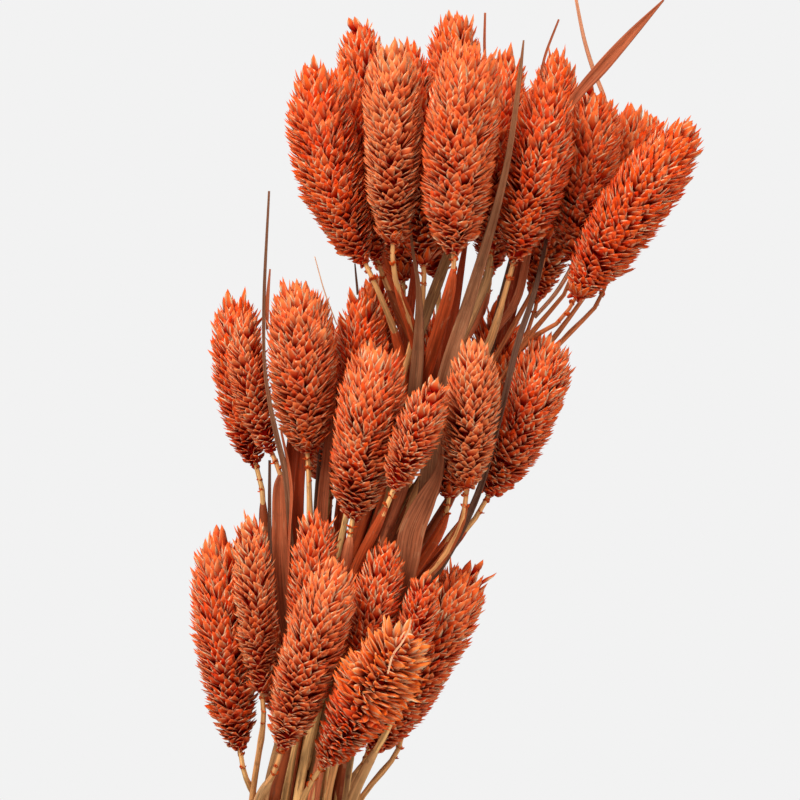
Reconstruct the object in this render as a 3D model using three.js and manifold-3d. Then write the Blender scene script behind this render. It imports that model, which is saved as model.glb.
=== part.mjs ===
// Vase of dried canary grass. Forty-seven dyed seed heads stand on thin stems in three
// staggered tiers, with eight dry leaves among them, in a plain narrow-necked vase.
// Millimetres, +Z up, origin in the middle of the vase's foot. The front of the bunch faces -Y.

import * as THREE from "three";
import { mergeVertices } from "three/addons/utils/BufferGeometryUtils.js";
import Module from "manifold-3d";

const wasm = await Module();
wasm.setup();

const FULL_TURN = 2 * Math.PI;
const GOLDEN_TURN = 2.39996;

// The vase: outside radii and heights from foot to lip, with a wall of one thickness.
const VASE_HEIGHT = 150;
const VASE_WALL = 4;
const VASE_FLOOR = 6;
const FOOT_RADIUS = 28;
const BELLY_RADIUS = 41;
const BELLY_HEIGHT = 52;
const NECK_RADIUS = 18;
const NECK_HEIGHT = 122;
const LIP_RADIUS = 20;
const VASE_SIDES = 20;
const VASE_RINGS = 10;

// A seed head: rows of pointed scales that stand out of a slimmer core.
const SCALES_PER_ROW = 7;
const SCALES_PER_ROW_SMALL = 6;
const SMALL_HEAD_RADIUS = 5;
const ROW_SPACING = 4.3;
const FIRST_ROW = 0.07;
const LAST_ROW = 0.9;
const PROFILE_SKEW = 0.75;
const PROFILE_FULLNESS = 0.6;
const CORE_SHARE = 0.76;
const SCALE_REACH = 0.84;
const SCALE_JITTER = 0.07;

// The stems: cut straight, standing on the vase's floor and leaning on its neck.
const STEM_RADIUS = 0.85;
const STEM_SIDES = 5;
const JOIN_TOLERANCE = 0.04;
const STEM_GAP = 0.3;
const FOOT_GAP = 0.9;
const HEAD_ENTRY = 4;
const NECK_BOTTOM = 104;
const MOUTH = 152;

// Where the middle of the bunch runs as it leans to the right on its way up.
// The stems spread as they rise, by a share of their place at the mouth.
const LOWER_LEVEL = { height: 188, middle: [7.5, 0] };
const WAIST_LEVEL = { height: 212, middle: [16.5, 0] };
const UPPER_LEVEL = { height: 239, middle: [26, -0.5] };
const LOWER_SPREAD = 1.15;
const WAIST_SPREAD = 1.35;
const UPPER_SPREAD = 1.85;
const MIDDLE_TIER_SPREAD = 1.05;

// Each tier's stems keep to their own ring of the bunch: the top tier's in the core, the
// middle tier's round them and the lower tier's outside. The radii are at the mouth. A tier's
// heads are taken in order round its middle, and its ring begins at the start angle.
const CORE_RADIUS = 4.9;
const CORE_FOOT_RADIUS = 3.4;
const TOP_MIDDLE = [36, 2];
const MIDDLE_STEMS = {
  radius: 7.6,
  footRadius: 14,
  around: [14, 2],
  start: -0.94 * Math.PI,
  levels: [LOWER_LEVEL],
};
const LOWER_STEMS = {
  radius: 10.6,
  footRadius: 21,
  around: [5, -2],
  start: -1.2 * Math.PI,
  levels: [],
};

// The feet of a ring's stems lean to the left and to the right by turns, by this many
// places, so that each crosses its neighbours inside the vase and the ring holds together.
const FOOT_SHIFT = 2;

// Leaves are thin blades, folded along the middle by this share of half their width.
const LEAF_THICKNESS = 0.6;
const LEAF_FOLD = 0.5;

const COLOURS = {
  vase: 0xe9e4da,
  head: 0xc4532c,
  stem: 0xb9894f,
  leaf: 0x8d6248,
};

// Seed heads: the base on its stem, the tip, the largest radius and a sideways bow.
const TOP_HEADS = [
  { base: [14.5, 14, 273.5], tip: [11, 14, 313], radius: 6.0, bow: 0 },
  { base: [12.5, -14, 263], tip: [2.5, -17, 303.5], radius: 6.9, bow: -2.6 },
  { base: [15, -3, 263.5], tip: [8, -3, 303.5], radius: 5.8, bow: -1.8 },
  { base: [18, -21, 266.5], tip: [18, -25, 306.5], radius: 6.0, bow: 0 },
  { base: [30.5, 8, 275], tip: [30, 8, 313.5], radius: 5.8, bow: 0 },
  { base: [30, -25, 265], tip: [34, -30, 306.5], radius: 7.4, bow: -0.8 },
  { base: [24, -10, 262.5], tip: [21.5, -10, 307.5], radius: 6.0, bow: 0 },
  { base: [37.5, -5, 266], tip: [40.5, -5, 305.5], radius: 6.0, bow: 0 },
  {
    base: [42, -16, 263.5], tip: [49, -21, 300], radius: 6.9, bow: 0.8,
    via: [[27.5, -4.5, 228], [36.6, -10, 246]],
  },
  { base: [48.5, 4, 267.5], tip: [51, 4, 306], radius: 6.2, bow: 0, via: [[35.3, 0.2, 239]] },
  {
    base: [54, -8, 263.5], tip: [58.5, -9, 298], radius: 6.6, bow: 0,
    via: [[31, -3, 226], [38.3, -2, 238], [45, -3.5, 248.5]],
  },
  {
    base: [58.5, 5, 263], tip: [66, 5, 294.5], radius: 6.2, bow: 0,
    via: [[31.5, -1.5, 226], [38.5, -1.8, 234], [51, 0.5, 249.5]],
  },
  {
    base: [54, -20, 256], tip: [78, -24, 291], radius: 7.0, bow: -0.8,
    via: [[32, -3.5, 229], [39.5, -3, 240], [44.8, -7, 247.5]],
  },
  { base: [27, 20, 260.5], tip: [25, 20, 300], radius: 6.2, bow: 0 },
  {
    base: [47, 16, 256.5], tip: [54.5, 18, 293.5], radius: 6.3, bow: 0,
    via: [[29, 7.5, 226], [38.2, 10.2, 238]],
  },
  { base: [20, 4, 259.5], tip: [19, 4, 298.5], radius: 5.2, bow: 0 },
  { base: [37.5, 22, 261.5], tip: [41, 27, 302], radius: 6.3, bow: 0 },
  { base: [16.5, 27, 262], tip: [13, 31, 301.5], radius: 6.2, bow: 0 },
  {
    base: [61, 15, 260.5], tip: [70.5, 20, 294], radius: 6.0, bow: 0,
    via: [[31, -0.5, 226], [39.5, -1.4, 235], [53, 5, 249]],
  },
];
const MIDDLE_HEADS = [
  { base: [-9.5, 2, 223], tip: [-13, 2, 257], radius: 5.2, bow: -1.6, via: [[-7.2, 1, 206]] },
  { base: [-6, -8, 225], tip: [-11, -9, 253.5], radius: 4.1, bow: -2.0, via: [[-5, -7, 208]] },
  { base: [1, -12, 225.5], tip: [-1, -16, 260], radius: 7.0, bow: 0 },
  { base: [11, -5, 228], tip: [12, -5, 258.5], radius: 5.2, bow: 0 },
  { base: [15, 11, 230], tip: [14, 11.5, 260.5], radius: 4.8, bow: 0 },
  { base: [5.5, 5, 219.5], tip: [6.5, 5, 251.5], radius: 5.4, bow: 0 },
  { base: [10, -18, 212.5], tip: [15.5, -22, 247], radius: 6.9, bow: 0 },
  { base: [18, -25, 218], tip: [27, -31, 240], radius: 4.7, bow: 0, via: [[10, -14.2, 200]] },
  { base: [32.5, -20, 218], tip: [34.5, -25, 248], radius: 5.8, bow: 0, via: [[27.5, -15.5, 204]] },
  { base: [37, -8, 217], tip: [50, -10, 248.5], radius: 6.2, bow: 1.0 },
  { base: [36, 4.5, 221], tip: [42, 5, 249.5], radius: 4.7, bow: 0 },
  { base: [29, -11, 216.5], tip: [32, -12, 242], radius: 5.2, bow: 0 },
  { base: [22, 21, 222], tip: [28.5, 24, 254], radius: 5.8, bow: 0 },
  { base: [33, 16, 225], tip: [41, 20, 256], radius: 5.8, bow: 0 },
  { base: [4, 15, 220], tip: [0, 19, 251.5], radius: 6.0, bow: 0 },
  { base: [12, 22, 220.5], tip: [13, 26, 252.5], radius: 5.6, bow: 0 },
];
const LOWER_HEADS = [
  { base: [-12.5, -5, 166], tip: [-17, -6, 209.5], radius: 6.2, bow: -0.8 },
  { base: [-8, -14, 177.5], tip: [-10.5, -17, 213], radius: 4.3, bow: 0 },
  { base: [-4, -23.5, 167], tip: [7.5, -30, 204.5], radius: 6.3, bow: 0 },
  { base: [0, -14.5, 181.5], tip: [3.5, -16.5, 214], radius: 5.0, bow: 0 },
  { base: [10.5, -18, 178], tip: [17.3, -18.7, 208.5], radius: 5.2, bow: 0 },
  { base: [19.2, -18, 177.5], tip: [25.2, -21, 202.5], radius: 4.1, bow: 0 },
  { base: [14, -5, 166], tip: [33.5, -7, 203], radius: 6.4, bow: 0.8 },
  { base: [4, -20, 163.5], tip: [21, -37, 189.5], radius: 6.2, bow: 0 },
  { base: [-4, 13, 171.5], tip: [-7.5, 16, 207], radius: 5.8, bow: 0 },
  { base: [4.5, 21, 172.5], tip: [3, 25, 210], radius: 6.0, bow: 0 },
  { base: [13.5, 16, 169], tip: [18.5, 20, 206.5], radius: 6.0, bow: 0 },
  { base: [20, 7, 169.5], tip: [29.5, 10, 202.5], radius: 5.2, bow: 0 },
];

// Leaves: points along the blade, with its width at each, from the neck of the vase or the
// stem that it grows on up to its tip.
const LEAVES = {
  leaf_long: [
    [8.2, -10.6, 170, 1.6], [9, -10.8, 178, 2.4], [11.9, -11.5, 190, 2.6], [19.6, -12.5, 204, 3.0],
    [24.4, -15, 216, 3.4], [25.4, -16.5, 224, 3.4], [28.6, -17.5, 241, 3.6], [33.2, -19.5, 256, 2.8],
    [37.4, -23.5, 270, 2.2], [40.6, -26.7, 283, 1.6], [42.8, -28.5, 298, 1.2], [43.8, -29.5, 307, 0.6],
  ],
  leaf_folded: [
    [15.4, -11.4, 189, 1.6], [18.7, -13.2, 196, 3.0], [20.6, -15.8, 203, 4.6], [21.8, -18.2, 210, 5.0],
    [24.4, -18.9, 216, 4.0], [27.2, -18.4, 222, 1.8], [27.9, -18.7, 229, 0.6],
  ],
  leaf_left: [
    [-1.4, -10.9, 200, 0.8], [-2.4, -11.3, 210, 1.4], [-3.5, -12.8, 222, 1.6], [-4.9, -15.4, 228, 1.4],
    [-6.2, -17.6, 235, 1.2], [-7.2, -17, 243, 1.0], [-7.4, -16, 256, 1.0], [-6.6, -16, 277.5, 0.5],
  ],
  leaf_sheath: [
    [-0.4, -8.7, 184, 1.6], [-2.4, -9.1, 192, 3.0], [-3.7, -9.3, 202, 3.6], [-4.2, -9.6, 212, 3.4],
    [-3.8, -10.2, 220, 2.2], [-3.2, -10.8, 225, 0.8],
  ],
  leaf_point: [
    [20.3, -8, 226, 1.6], [22.3, -10.2, 238, 2.6], [23.2, -12.2, 250, 2.0], [23.1, -13.2, 261, 2.0],
    [21.9, -15.3, 267, 1.2], [21.3, -15.6, 272, 0.6],
  ],
  leaf_dark: [
    [21.5, -7.4, 194, 1.0], [25.2, -9.4, 199, 1.2], [28.8, -11.5, 205, 1.4], [33, -12.7, 213, 1.4],
    [35.8, -14, 220, 1.2], [40, -16, 236, 1.2], [42.8, -15.9, 247.5, 1.2], [46, -14, 257, 1.0],
    [48.6, -10, 268, 0.6],
  ],
  leaf_right: [
    [36.2, -4.9, 247, 0.8], [39, -6.6, 250.5, 1.2], [42.6, -8.6, 256, 1.6], [45, -8.4, 266, 1.6],
    [47.2, -6.7, 276, 1.6], [48.6, -8, 284, 1.6], [50.8, -11, 290, 1.6], [54.2, -12.8, 296, 1.6],
    [59.4, -13.2, 302, 1.6], [65.2, -13.6, 308.5, 1.2], [71.8, -14.2, 315.5, 0.5],
  ],
  leaf_curl: [
    [46.3, 0.2, 252.5, 0.7], [51, -0.6, 258, 0.8], [55.3, -1.6, 266, 0.8], [57.8, -2.1, 275, 0.8],
    [60.4, -2.7, 285, 0.8], [60.5, -3, 295, 0.8], [58, -3, 302, 0.8], [56.2, -3, 308, 0.7],
    [54.2, -2.6, 318, 0.5],
  ],
};

function seededRandom(seed) {
  let state = seed;
  return () => {
    state = (state * 1664525 + 1013904223) % 4294967296;
    return state / 4294967296;
  };
}

function meshFrom(geometry, name, colour, roughness) {
  const material = new THREE.MeshStandardMaterial({ color: colour, roughness, metalness: 0 });
  const mesh = new THREE.Mesh(geometry, material);
  mesh.name = name;
  return mesh;
}

function solidFrom(geometry) {
  const bare = geometry.clone();
  bare.deleteAttribute("normal");
  bare.deleteAttribute("uv");
  const merged = mergeVertices(bare);
  const vertProperties = new Float32Array(merged.attributes.position.array);
  const triVerts = new Uint32Array(merged.index.array);
  return new wasm.Manifold(new wasm.Mesh({ numProp: 3, vertProperties, triVerts }));
}

function geometryFrom(solid) {
  const mesh = solid.getMesh();
  const geometry = new THREE.BufferGeometry();
  geometry.setAttribute("position", new THREE.BufferAttribute(mesh.vertProperties, 3));
  geometry.setIndex(new THREE.BufferAttribute(mesh.triVerts, 1));
  return geometry;
}

function indexedGeometry(points, triangles) {
  const geometry = new THREE.BufferGeometry();
  geometry.setFromPoints(points);
  geometry.setIndex(triangles);
  return geometry;
}

// The vase is turned about its axis: a full foot, a round belly and a flared lip.
function makeVase() {
  const outside = new THREE.CatmullRomCurve3([
    new THREE.Vector3(FOOT_RADIUS, 0, 0),
    new THREE.Vector3(BELLY_RADIUS, BELLY_HEIGHT, 0),
    new THREE.Vector3((BELLY_RADIUS + NECK_RADIUS) / 2, (BELLY_HEIGHT + NECK_HEIGHT) / 2, 0),
    new THREE.Vector3(NECK_RADIUS, NECK_HEIGHT, 0),
    new THREE.Vector3(LIP_RADIUS, VASE_HEIGHT, 0),
  ]).getPoints(VASE_RINGS);
  const inside = outside
    .map((point) => new THREE.Vector2(point.x - VASE_WALL, point.y))
    .filter((point) => point.y > VASE_FLOOR);
  const profile = [
    new THREE.Vector2(0, 0),
    ...outside.map((point) => new THREE.Vector2(point.x, point.y)),
    ...inside.reverse(),
    new THREE.Vector2(FOOT_RADIUS - VASE_WALL, VASE_FLOOR),
    new THREE.Vector2(0, VASE_FLOOR),
  ];
  const geometry = new THREE.LatheGeometry(profile, VASE_SIDES);
  geometry.rotateX(Math.PI / 2);
  return meshFrom(geometryFrom(solidFrom(geometry)), "vase", COLOURS.vase, 0.6);
}

// The line through the middle of a head, from 0 at its base to 1 at its tip.
function headAxis(head) {
  const base = new THREE.Vector3(...head.base);
  const tip = new THREE.Vector3(...head.tip);
  const middle = base.clone().lerp(tip, 0.5);
  middle.x += 2 * head.bow;
  return new THREE.QuadraticBezierCurve3(base, middle, tip);
}

// How wide a head is at a share of its length: fullest below the middle, pointed at the tip.
function headRadius(head, share) {
  return head.radius * Math.sin(Math.PI * share ** PROFILE_SKEW) ** PROFILE_FULLNESS;
}

// Scales are four-sided points on a net of diamonds, each row half a scale round from the
// last. A scale's point lies near the upper corner of its diamond and at the full radius.
function makeHead(head, name, seed) {
  const random = seededRandom(seed);
  const axis = headAxis(head);
  const along = axis.getTangent(0.5);
  const side = new THREE.Vector3(0, 1, 0).cross(along).normalize();
  const front = along.clone().cross(side);
  const count = head.radius < SMALL_HEAD_RADIUS ? SCALES_PER_ROW_SMALL : SCALES_PER_ROW;
  const rows = Math.round(axis.getLength() / ROW_SPACING);
  const turn = random() * FULL_TURN;
  const points = [];
  const triangles = [];

  const shareOf = (row) => FIRST_ROW + ((LAST_ROW - FIRST_ROW) * row) / rows;
  const angleOf = (row, place) => turn + ((place + (row % 2) / 2) * FULL_TURN) / count;
  const ring = (row, place) => row * count + ((place + count) % count);
  const addPoint = (share, angle, radius) => {
    const point = axis.getPoint(share);
    point.addScaledVector(side, radius * Math.cos(angle));
    point.addScaledVector(front, radius * Math.sin(angle));
    points.push(point);
    return points.length - 1;
  };

  for (let row = 0; row <= rows; row += 1) {
    for (let place = 0; place < count; place += 1) {
      const share = shareOf(row);
      addPoint(share, angleOf(row, place), CORE_SHARE * headRadius(head, share));
    }
  }
  for (let row = 0; row <= rows - 2; row += 1) {
    for (let place = 0; place < count; place += 1) {
      const left = ring(row + 1, place - 1 + (row % 2));
      const right = ring(row + 1, place + (row % 2));
      const top = ring(row + 2, place);
      const share = shareOf(row + 2 * SCALE_REACH);
      const reach = 1 + SCALE_JITTER * (random() - 0.5);
      const point = addPoint(share, angleOf(row, place), reach * headRadius(head, share));
      const bottom = ring(row, place);
      triangles.push(bottom, right, point, right, top, point, top, left, point, left, bottom, point);
    }
  }
  const foot = points.push(axis.getPoint(0)) - 1;
  const tip = points.push(axis.getPoint(1)) - 1;
  for (let place = 0; place < count; place += 1) {
    triangles.push(ring(0, place), ring(0, place + 1), ring(1, place));
    triangles.push(foot, ring(0, place + 1), ring(0, place));
    const below = ring(rows - 1, place + (rows % 2));
    triangles.push(below, ring(rows, place + 1), ring(rows, place));
    triangles.push(ring(rows, place), ring(rows, place + 1), tip);
  }
  return meshFrom(indexedGeometry(points, triangles), name, COLOURS.head, 0.85);
}

function onRing(radius, angle, height) {
  return new THREE.Vector3(radius * Math.cos(angle), radius * Math.sin(angle), height);
}

// A point of the leaning bunch at one level, from its place in the bunch at the mouth.
function atLevel(level, place, spread) {
  const [x, y] = level.middle;
  return new THREE.Vector3(x + place.x * spread, y + place.y * spread, level.height);
}

// A stem comes up into its head along the head's own line. One that has to pass between other
// heads has points of its own on the way.
function headEntry(head) {
  const axis = headAxis(head);
  const along = axis.getTangent(0);
  const end = axis.getPoint(0).addScaledVector(along, -STEM_GAP);
  const onTheWay = (head.via ?? []).map((point) => new THREE.Vector3(...point));
  return [...onTheWay, end.clone().addScaledVector(along, -HEAD_ENTRY), end];
}

// A stem bends only at the points that it is given.
class StemPath extends THREE.CatmullRomCurve3 {
  getUtoTmapping(share) {
    return share;
  }
}

function stemSolid(points) {
  const path = new StemPath(points, false, "centripetal");
  const corners = Array.from({ length: STEM_SIDES }, (_, corner) => {
    const angle = (corner * FULL_TURN) / STEM_SIDES;
    return new THREE.Vector2(Math.cos(angle), Math.sin(angle)).multiplyScalar(STEM_RADIUS);
  });
  const options = { extrudePath: path, steps: points.length - 1, bevelEnabled: false };
  return solidFrom(new THREE.ExtrudeGeometry(new THREE.Shape(corners), options));
}

function angleAround(centre, head) {
  return Math.atan2(head.base[1] - centre[1], head.base[0] - centre[0]);
}

function byAngle(centre, heads) {
  return [...heads].sort((a, b) => angleAround(centre, a) - angleAround(centre, b));
}

// Top tier: the stems fill the core like the seeds of a sunflower, in the order in which
// their heads stand round the bunch.
function topStems(heads) {
  const places = heads.map((_, index) => {
    const angle = (index * GOLDEN_TURN) % FULL_TURN;
    return onRing(Math.sqrt((index + 0.5) / heads.length), angle - Math.PI, 0);
  });
  places.sort((a, b) => Math.atan2(a.y, a.x) - Math.atan2(b.y, b.x));
  return byAngle(TOP_MIDDLE, heads).map((head, index) => {
    const place = places[index].multiplyScalar(CORE_RADIUS);
    const foot = place.clone().multiplyScalar(CORE_FOOT_RADIUS / CORE_RADIUS);
    foot.z = VASE_FLOOR + FOOT_GAP;
    return stemSolid([
      foot,
      new THREE.Vector3(place.x, place.y, NECK_BOTTOM),
      new THREE.Vector3(place.x, place.y, MOUTH),
      atLevel(LOWER_LEVEL, place, LOWER_SPREAD),
      atLevel(WAIST_LEVEL, place, WAIST_SPREAD),
      ...(head.via ? [] : [atLevel(UPPER_LEVEL, place, UPPER_SPREAD)]),
      ...headEntry(head),
    ]);
  });
}

// Middle and lower tiers: the stems take even places on their ring, in the order in which
// their heads stand round the bunch.
function ringStems(heads, ring) {
  const spacing = FULL_TURN / heads.length;
  return byAngle(ring.around, heads).map((head, place) => {
    const angle = ring.start + place * spacing;
    const lean = place % 2 === 0 ? FOOT_SHIFT : -FOOT_SHIFT;
    const points = [
      onRing(ring.footRadius, angle + lean * spacing, VASE_FLOOR + FOOT_GAP),
      onRing(ring.radius, angle, NECK_BOTTOM),
      onRing(ring.radius, angle, MOUTH),
    ];
    const position = onRing(ring.radius, angle, 0);
    for (const level of ring.levels) {
      points.push(atLevel(level, position, MIDDLE_TIER_SPREAD));
    }
    points.push(...headEntry(head));
    return stemSolid(points);
  });
}

// Joins the stems of one tier. They hold together where they touch or cross in the vase.
function fuse(solids, name) {
  const joined = wasm.Manifold.union(solids).simplify(JOIN_TOLERANCE);
  return meshFrom(geometryFrom(joined), name, COLOURS.stem, 0.7);
}

// A leaf's section is a thin chevron, open to the front, with its widths set along the blade.
function makeLeaf(name, stations) {
  const middles = stations.map(([x, y, z]) => new THREE.Vector3(x, y, z));
  const path = new THREE.CatmullRomCurve3(middles, false, "centripetal");
  const count = stations.length - 1;
  const facing = new THREE.Vector3(0, -1, 0);
  const points = [];
  const triangles = [];
  for (let station = 0; station <= count; station += 1) {
    const share = station / count;
    const centre = path.getPoint(share);
    const along = path.getTangent(share);
    const across = along.clone().cross(facing).normalize();
    const out = across.clone().cross(along).normalize();
    const half = stations[station][3] / 2;
    for (const [sideways, depth] of [[-1, 0], [0, -LEAF_FOLD], [1, 0]]) {
      for (const layer of [0.5, -0.5]) {
        const point = centre.clone().addScaledVector(across, sideways * half);
        point.addScaledVector(out, depth * half + layer * LEAF_THICKNESS);
        points.push(point);
      }
    }
  }
  const rim = [0, 2, 4, 5, 3, 1];
  for (let station = 0; station < count; station += 1) {
    for (let side = 0; side < rim.length; side += 1) {
      const a = station * rim.length + rim[side];
      const b = station * rim.length + rim[(side + 1) % rim.length];
      triangles.push(a, b, b + rim.length, a, b + rim.length, a + rim.length);
    }
  }
  const last = count * rim.length;
  triangles.push(0, 1, 3, 0, 3, 2, 2, 3, 5, 2, 5, 4);
  triangles.push(last, last + 3, last + 1, last, last + 2, last + 3);
  triangles.push(last + 2, last + 5, last + 3, last + 2, last + 4, last + 5);
  return meshFrom(indexedGeometry(points, triangles), name, COLOURS.leaf, 0.75);
}

const group = new THREE.Group();
group.add(makeVase());
group.add(fuse(topStems(TOP_HEADS), "stems_top"));
group.add(fuse(ringStems(MIDDLE_HEADS, MIDDLE_STEMS), "stems_middle"));
group.add(fuse(ringStems(LOWER_HEADS, LOWER_STEMS), "stems_lower"));

const tiers = { top: TOP_HEADS, middle: MIDDLE_HEADS, lower: LOWER_HEADS };
let seed = 1;
for (const [tier, heads] of Object.entries(tiers)) {
  heads.forEach((head, index) => {
    const name = `head_${tier}_${String(index + 1).padStart(2, "0")}`;
    group.add(makeHead(head, name, seed));
    seed += 1;
  });
}
for (const [name, stations] of Object.entries(LEAVES)) {
  group.add(makeLeaf(name, stations));
}

export default group;
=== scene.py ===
"""Vase of dried canary grass: the looks of the bunch and its vase, built round the fixed frame.

Forty-seven dyed seed heads stand on straw stems in three tiers, with dry leaves among them, in
a matt stoneware bottle vase. Metres, +Z up, and the front of the bunch faces -Y.
"""

import math

import bmesh
import bpy
import numpy as np
from bpy.props import FloatProperty, FloatVectorProperty, IntProperty, PointerProperty
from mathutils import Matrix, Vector


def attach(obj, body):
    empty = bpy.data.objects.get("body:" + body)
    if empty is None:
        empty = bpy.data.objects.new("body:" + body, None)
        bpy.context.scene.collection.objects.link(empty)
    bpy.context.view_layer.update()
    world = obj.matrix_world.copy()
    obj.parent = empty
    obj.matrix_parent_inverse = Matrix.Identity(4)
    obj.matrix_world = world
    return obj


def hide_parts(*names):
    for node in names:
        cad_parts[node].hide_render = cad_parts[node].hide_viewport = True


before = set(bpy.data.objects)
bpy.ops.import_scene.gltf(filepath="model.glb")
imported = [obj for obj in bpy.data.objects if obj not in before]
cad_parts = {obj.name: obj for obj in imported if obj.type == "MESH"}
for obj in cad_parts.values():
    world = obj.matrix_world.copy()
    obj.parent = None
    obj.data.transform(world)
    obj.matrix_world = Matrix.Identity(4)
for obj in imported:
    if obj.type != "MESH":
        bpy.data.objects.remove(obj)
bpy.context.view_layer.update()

bl_info = {
    "name": "Vase of dried canary grass",
    "version": (1, 0, 0),
    "blender": (4, 5, 0),
    "location": "View3D > Sidebar > Dried grass",
    "description": "Builds dyed canary grass with its stems, leaves and vase",
    "category": "Object",
}

MM = 0.001
GOLDEN_TURN = 2.39996
FULL_TURN = 2 * math.pi

# Seed heads, in millimetres: foot, tip, largest radius, sideways bow, how faded the dye is from
# 0 to 1, and the points by which the stem passes between other heads.
TOP_HEADS = [
    ((14.5, 14, 273.5), (11, 14, 313), 6.0, 0, 0.25),
    ((12.5, -14, 263), (2.5, -17, 303.5), 6.9, -2.6, 0.2),
    ((15, -3, 263.5), (8, -3, 303.5), 5.8, -1.8, 0.15),
    ((18, -21, 266.5), (18, -25, 306.5), 6.0, 0, 0.85),
    ((30.5, 8, 275), (30, 8, 313.5), 5.8, 0, 0.2),
    ((30, -25, 265), (34, -30, 306.5), 7.4, -0.8, 0.45),
    ((24, -10, 262.5), (21.5, -10, 307.5), 6.0, 0, 0.1),
    ((37.5, -5, 266), (40.5, -5, 305.5), 6.0, 0, 0.25),
    ((42, -16, 263.5), (49, -21, 300), 6.9, 0.8, 0.15, (27.5, -4.5, 228), (36.6, -10, 246)),
    ((48.5, 4, 267.5), (51, 4, 306), 6.2, 0, 0.25, (35.3, 0.2, 239)),
    ((54, -8, 263.5), (58.5, -9, 298), 6.6, 0, 0.25,
     (31, -3, 226), (38.3, -2, 238), (45, -3.5, 248.5)),
    ((58.5, 5, 263), (66, 5, 294.5), 6.2, 0, 0.2,
     (31.5, -1.5, 226), (38.5, -1.8, 234), (51, 0.5, 249.5)),
    ((54, -20, 256), (78, -24, 291), 7.0, -0.8, 0.05,
     (32, -3.5, 229), (39.5, -3, 240), (44.8, -7, 247.5)),
    ((27, 20, 260.5), (25, 20, 300), 6.2, 0, 0.2),
    ((47, 16, 256.5), (54.5, 18, 293.5), 6.3, 0, 0.2, (29, 7.5, 226), (38.2, 10.2, 238)),
    ((20, 4, 259.5), (19, 4, 298.5), 5.2, 0, 0.1),
    ((37.5, 22, 261.5), (41, 27, 302), 6.3, 0, 0.3),
    ((16.5, 27, 262), (13, 31, 301.5), 6.2, 0, 0.4),
    ((61, 15, 260.5), (70.5, 20, 294), 6.0, 0, 0.1,
     (31, -0.5, 226), (39.5, -1.4, 235), (53, 5, 249)),
]
MIDDLE_HEADS = [
    ((-9.5, 2, 223), (-13, 2, 257), 5.2, -1.6, 0.1, (-7.2, 1, 206)),
    ((-6, -8, 225), (-11, -9, 253.5), 4.1, -2.0, 0.5, (-5, -7, 208)),
    ((1, -12, 225.5), (-1, -16, 260), 7.0, 0, 0.55),
    ((11, -5, 228), (12, -5, 258.5), 5.2, 0, 0.1),
    ((15, 11, 230), (14, 11.5, 260.5), 4.8, 0, 0.15),
    ((5.5, 5, 219.5), (6.5, 5, 251.5), 5.4, 0, 0.1),
    ((10, -18, 212.5), (15.5, -22, 247), 6.9, 0, 0.45),
    ((18, -25, 218), (27, -31, 240), 4.7, 0, 0.5, (10, -14.2, 200)),
    ((32.5, -20, 218), (34.5, -25, 248), 5.8, 0, 0.85, (27.5, -15.5, 204)),
    ((37, -8, 217), (50, -10, 248.5), 6.2, 1.0, 0.25),
    ((36, 4.5, 221), (42, 5, 249.5), 4.7, 0, 0.1),
    ((29, -11, 216.5), (32, -12, 242), 5.2, 0, 0.2),
    ((22, 21, 222), (28.5, 24, 254), 5.8, 0, 0.3),
    ((33, 16, 225), (41, 20, 256), 5.8, 0, 0.2),
    ((4, 15, 220), (0, 19, 251.5), 6.0, 0, 0.5),
    ((12, 22, 220.5), (13, 26, 252.5), 5.6, 0, 0.3),
]
LOWER_HEADS = [
    ((-12.5, -5, 166), (-17, -6, 209.5), 6.2, -0.8, 0.3),
    ((-8, -14, 177.5), (-10.5, -17, 213), 4.3, 0, 0.75),
    ((-4, -23.5, 167), (7.5, -30, 204.5), 6.3, 0, 0.6),
    ((0, -14.5, 181.5), (3.5, -16.5, 214), 5.0, 0, 0.3),
    ((10.5, -18, 178), (17.3, -18.7, 208.5), 5.2, 0, 0.2),
    ((19.2, -18, 177.5), (25.2, -21, 202.5), 4.1, 0, 0.25),
    ((14, -5, 166), (33.5, -7, 203), 6.4, 0.8, 0.3),
    ((4, -20, 163.5), (21, -37, 189.5), 6.2, 0, 0.1),
    ((-4, 13, 171.5), (-7.5, 16, 207), 5.8, 0, 0.4),
    ((4.5, 21, 172.5), (3, 25, 210), 6.0, 0, 0.2),
    ((13.5, 16, 169), (18.5, 20, 206.5), 6.0, 0, 0.35),
    ((20, 7, 169.5), (29.5, 10, 202.5), 5.2, 0, 0.2),
]
TIERS = {"top": TOP_HEADS, "middle": MIDDLE_HEADS, "lower": LOWER_HEADS}
PALE_EDGES = {"top": 0.75, "middle": 0.9, "lower": 1.0}
PARTED_HEAD = "head_lower_08"

# Places along a head, and how wide a pointed and a blunt head are there as a share of the
# largest radius.
PROFILE_PLACES = (0, 0.05, 0.12, 0.22, 0.34, 0.48, 0.62, 0.73, 0.81, 0.88, 0.94, 1)
POINTED = (0.14, 0.38, 0.61, 0.82, 0.95, 1.02, 1.02, 0.95, 0.83, 0.64, 0.40, 0.04)
BLUNT = (0.15, 0.46, 0.71, 0.89, 0.97, 1.01, 1.02, 1.0, 0.94, 0.82, 0.62, 0.16)
USUAL_RADIUS = 6.5

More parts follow.
